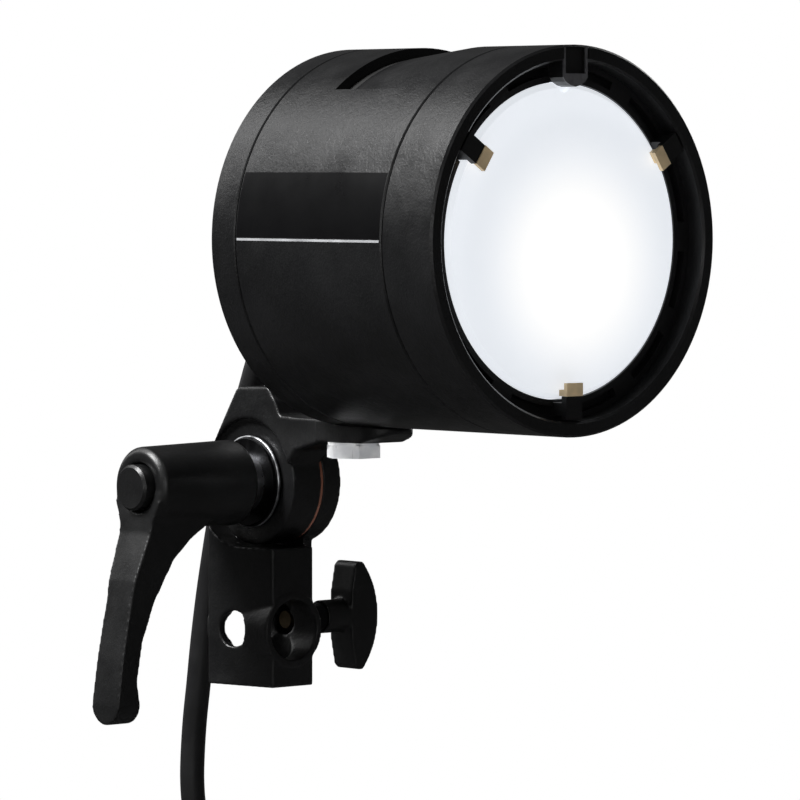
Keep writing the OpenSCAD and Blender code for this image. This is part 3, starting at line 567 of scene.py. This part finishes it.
class FLASH_OT_stage(bpy.types.Operator):
    """Adds the camera, the pale floor and the soft studio lights."""

    bl_idname = "flash_head.stage"
    bl_label = "Stage"

    def execute(self, context):
        settings = context.scene.flash_stage
        self.add_camera(context, settings)
        self.add_floor(context)
        self.add_lights(context)
        return {"FINISHED"}

    def add_camera(self, context, settings):
        a, e = settings.azimuth, settings.elevation
        back = Vector((math.sin(a) * math.cos(e), -math.cos(a) * math.cos(e), math.sin(e)))
        right = Vector((math.cos(a), math.sin(a), 0))
        up = back.cross(right)
        data = bpy.data.cameras.new("camera")
        data.sensor_width = 36
        data.lens = settings.lens
        data.clip_end = 100
        camera = bpy.data.objects.new("camera", data)
        context.scene.collection.objects.link(camera)
        camera.matrix_world = Matrix((
            (right.x, up.x, back.x, 0), (right.y, up.y, back.y, 0), (right.z, up.z, back.z, 0), (0, 0, 0, 1),
        ))
        camera.location = LAMP_CENTRE + back * settings.distance + right * settings.aside + up * settings.rise
        context.scene.camera = camera

    def add_floor(self, context):
        deselect()
        bpy.ops.mesh.primitive_circle_add(
            vertices=128, radius=FLOOR_RADIUS, fill_type="NGON", location=(0, 0, cad_low[2] - FLOOR_GAP),
        )
        floor = context.active_object
        floor.name = "floor"
        bpy.ops.object.transform_apply(location=True)
        material, shader = new_material("pale floor", (0.86, 0.86, 0.87), 0.8)
        grain = noise(material, 90, 3.0)
        join(material, spread(material, grain, 0.7, 0.9), shader.inputs["Roughness"])
        floor.data.materials.append(material)
        floor.visible_glossy = False

    def add_lights(self, context):
        world = bpy.data.worlds.new("studio")
        context.scene.world = world
        world.use_nodes = True
        nodes, links = world.node_tree.nodes, world.node_tree.links
        background = nodes["Background"]
        background.inputs["Color"].default_value = (1, 1, 1, 1)
        seen = nodes.new("ShaderNodeLightPath")
        level = nodes.new("ShaderNodeMapRange")
        level.inputs["To Min"].default_value = AMBIENT_LEVEL
        level.inputs["To Max"].default_value = BACKDROP_LEVEL
        links.new(seen.outputs["Is Camera Ray"], level.inputs["Value"])
        links.new(level.outputs["Result"], background.inputs["Strength"])
        context.scene.view_settings.view_transform = "Standard"
        lights = [
            ("key softbox", (-1.15, 0.4, 1.5), 0.6, 0.6, 74),
            ("front fill", (-1.5, -1.5, 0.3), 0.6, 0.6, 3.0),
            ("right softbox", (1.6, 0.6, 0.6), 0.5, 1.1, 5),
            ("back strip", (-0.3, 1.5, 0.9), 0.4, 1.4, 5),
        ]
        for name, where, width, height, power in lights:
            data = bpy.data.lights.new(name, "AREA")
            data.shape = "RECTANGLE"
            data.size = width
            data.size_y = height
            data.energy = power
            lamp = bpy.data.objects.new(name, data)
            context.scene.collection.objects.link(lamp)
            lamp.location = where
            aim = LIGHT_AIM - Vector(where)
            lamp.rotation_euler = aim.to_track_quat("-Z", "Y").to_euler()


class FLASH_OT_cable(bpy.types.Operator):
    """Lays the lamp cable along its route and winds its spare length into a coil."""

    bl_idname = "flash_head.cable"
    bl_label = "Cable"

    def execute(self, context):
        cable = context.scene.flash_cable
        line = smooth_path(ROUTE, 4) + self.coil() + self.tail()
        length = sum((b - a).length for a, b in zip(line, line[1:]))
        curve = bpy.data.curves.new("lamp_cable", "CURVE")
        curve.dimensions = "3D"
        curve.bevel_depth = cable.diameter / 2
        curve.bevel_resolution = 5
        curve.use_fill_caps = True
        spline = curve.splines.new("POLY")
        spline.points.add(len(line) - 1)
        for point, place_at in zip(spline.points, line):
            point.co = (*place_at, 1)
        piece = bpy.data.objects.new("lamp_cable", curve)
        context.scene.collection.objects.link(piece)
        curve.materials.append(MATERIALS["cord_rubber"])
        pick(piece)
        bpy.ops.object.convert(target="MESH")
        piece = context.view_layer.objects.active
        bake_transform(piece)
        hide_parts("cable_run", "cable_coil", "cable_tail")
        print(f"cable length {length:.3f} m")
        return {"FINISHED"}

    def strand(self, angle):
        """The cable's place after an angle past the coil's top, twisting round the bundle."""
        twist = (angle - JOIN_ANGLE) / COIL_STRANDS
        radius = COIL_RADIUS + STRAND_STEP * math.cos(twist)
        offset = Vector((radius * math.sin(angle), STRAND_STEP * math.sin(twist), radius * math.cos(angle)))
        return COIL_CENTRE + offset

    def coil(self):
        """The joining bend, then all the turns round to the outer side."""
        bend = []
        for degrees in JOIN_DEGREES:
            t = math.radians(degrees)
            bend.append(JOIN_CENTRE + Vector((-JOIN_RADIUS * math.cos(t), 0, -JOIN_RADIUS * math.sin(t))))
        steps = COIL_TURNS * STEPS_PER_TURN
        turns = [self.strand(JOIN_ANGLE + (COIL_END - JOIN_ANGLE) * k / steps) for k in range(steps + 1)]
        return bend + turns

    def tail(self):
        """Straight down from the coil's side into the plug."""
        top = self.strand(COIL_END)
        down = PLUG_TOP + Vector((0, 0, -0.003))
        return [top.lerp(down, k / 8) for k in range(1, 9)]


class FLASH_OT_castings(bpy.types.Operator):
    """Rounds the cast and moulded pieces: adapter, tilting arm, lever and wing knob."""

    bl_idname = "flash_head.castings"
    bl_label = "Castings"

    def execute(self, context):
        settings = context.scene.flash_castings
        softness = settings.softness
        rounded = [
            ("stand_adapter", "adapter_casting", "adapter", "arm_black", softness),
            ("tilt_arm", "arm_casting", "head", "arm_black", softness),
            ("lever_handle", "lever_moulding", "lever", "knob_black", softness + 3),
            ("wing_knob", "knob_moulding", "clamp_knob", "knob_black", softness + 3),
        ]
        for node, name, body, slot_name, repeats in rounded:
            piece = copy_node(node, name)
            remesh = piece.modifiers.new("remesh", "REMESH")
            remesh.mode = "VOXEL"
            remesh.voxel_size = settings.detail
            soften = piece.modifiers.new("soften", "SMOOTH")
            soften.factor = 0.5
            soften.iterations = repeats
            apply_all(piece)
            settle(piece, body, slot_name)
            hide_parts(node)
        return {"FINISHED"}


class FLASH_OT_finishes(bpy.types.Operator):
    """Paints the frame's own parts with the finish of their slots."""

    bl_idname = "flash_head.finishes"
    bl_label = "Finishes"

    def execute(self, context):
        for entry in frame["record"]["subparts"]:
            node = frame["nodes"][entry["node"]]
            material = MATERIALS[entry["material_slot"]]
            if node.data.materials:
                node.material_slots[0].material = material
            else:
                node.data.materials.append(material)
        return {"FINISHED"}


class FLASH_PT_panel(bpy.types.Panel):
    """Lists the operators and their settings."""

    bl_idname = "FLASH_PT_panel"
    bl_label = "Flash head"
    bl_space_type = "VIEW_3D"
    bl_region_type = "UI"
    bl_category = "Flash head"

    def draw(self, context):
        for group in ("flash_stage", "flash_cable", "flash_castings", "flash_colours"):
            box = self.layout.box()
            settings = getattr(context.scene, group)
            for key in settings.__annotations__:
                box.prop(settings, key)
        for operator in OPERATORS:
            self.layout.operator(operator.bl_idname)


OPERATORS = [FLASH_OT_stage, FLASH_OT_cable, FLASH_OT_castings, FLASH_OT_finishes]
GROUPS = {
    "flash_stage": StageSettings,
    "flash_cable": CableSettings,
    "flash_castings": CastingSettings,
    "flash_colours": FinishColours,
}
MATERIALS = {}


def register():
    for kind in [*GROUPS.values(), *OPERATORS, FLASH_PT_panel]:
        bpy.utils.register_class(kind)
    for name, kind in GROUPS.items():
        setattr(bpy.types.Scene, name, bpy.props.PointerProperty(type=kind))


def unregister():
    for name in GROUPS:
        delattr(bpy.types.Scene, name)
    for kind in reversed([*GROUPS.values(), *OPERATORS, FLASH_PT_panel]):
        bpy.utils.unregister_class(kind)


def main():
    register()
    scene = bpy.context.scene
    MATERIALS.update(make_materials(scene.flash_colours, scene.flash_cable))
    bpy.ops.flash_head.stage()
    bpy.ops.flash_head.cable()
    bpy.ops.flash_head.castings()
    bpy.ops.flash_head.finishes()


if __name__ == "__main__":
    main()
